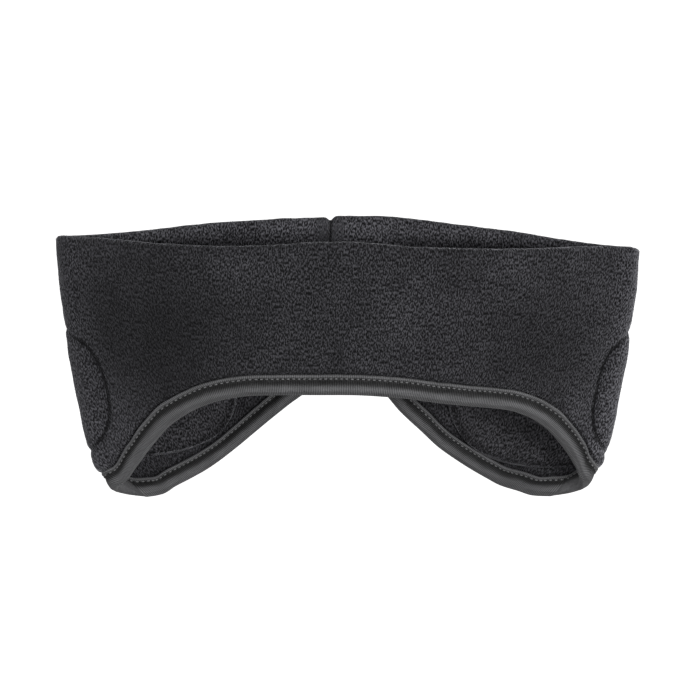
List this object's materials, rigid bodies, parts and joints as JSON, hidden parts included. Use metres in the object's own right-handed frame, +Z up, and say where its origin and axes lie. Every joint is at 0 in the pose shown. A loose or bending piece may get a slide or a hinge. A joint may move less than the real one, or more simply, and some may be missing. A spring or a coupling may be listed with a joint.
{
  "type": "ear warmer headband",
  "caption": "Charcoal fleece ear warmer headband, narrow over the brow and deep over the ears, with knit tape folded over its lower edge and a soft pad inside each ear lobe.",
  "frame": {"origin": "the middle of the head opening at the brow line, level with the lower edge at the centre of the front", "axes": "+Z up, +X to the viewer's right along the flattened band, the front faces -Y"},
  "size_m": [0.2508, 0.0671, 0.1221],
  "materials": {
    "fleece": "brushed polyester fleece, short dense nap",
    "binding_tape": "smooth fine-ribbed knit tape",
    "pad_fleece": "brushed polyester fleece, short dense nap"
  },
  "bodies": {
    "root": {"fleece_band": "fleece", "edge_binding": "binding_tape", "ear_pad_left": "pad_fleece", "ear_pad_right": "pad_fleece"}
  },
  "joints": []
}
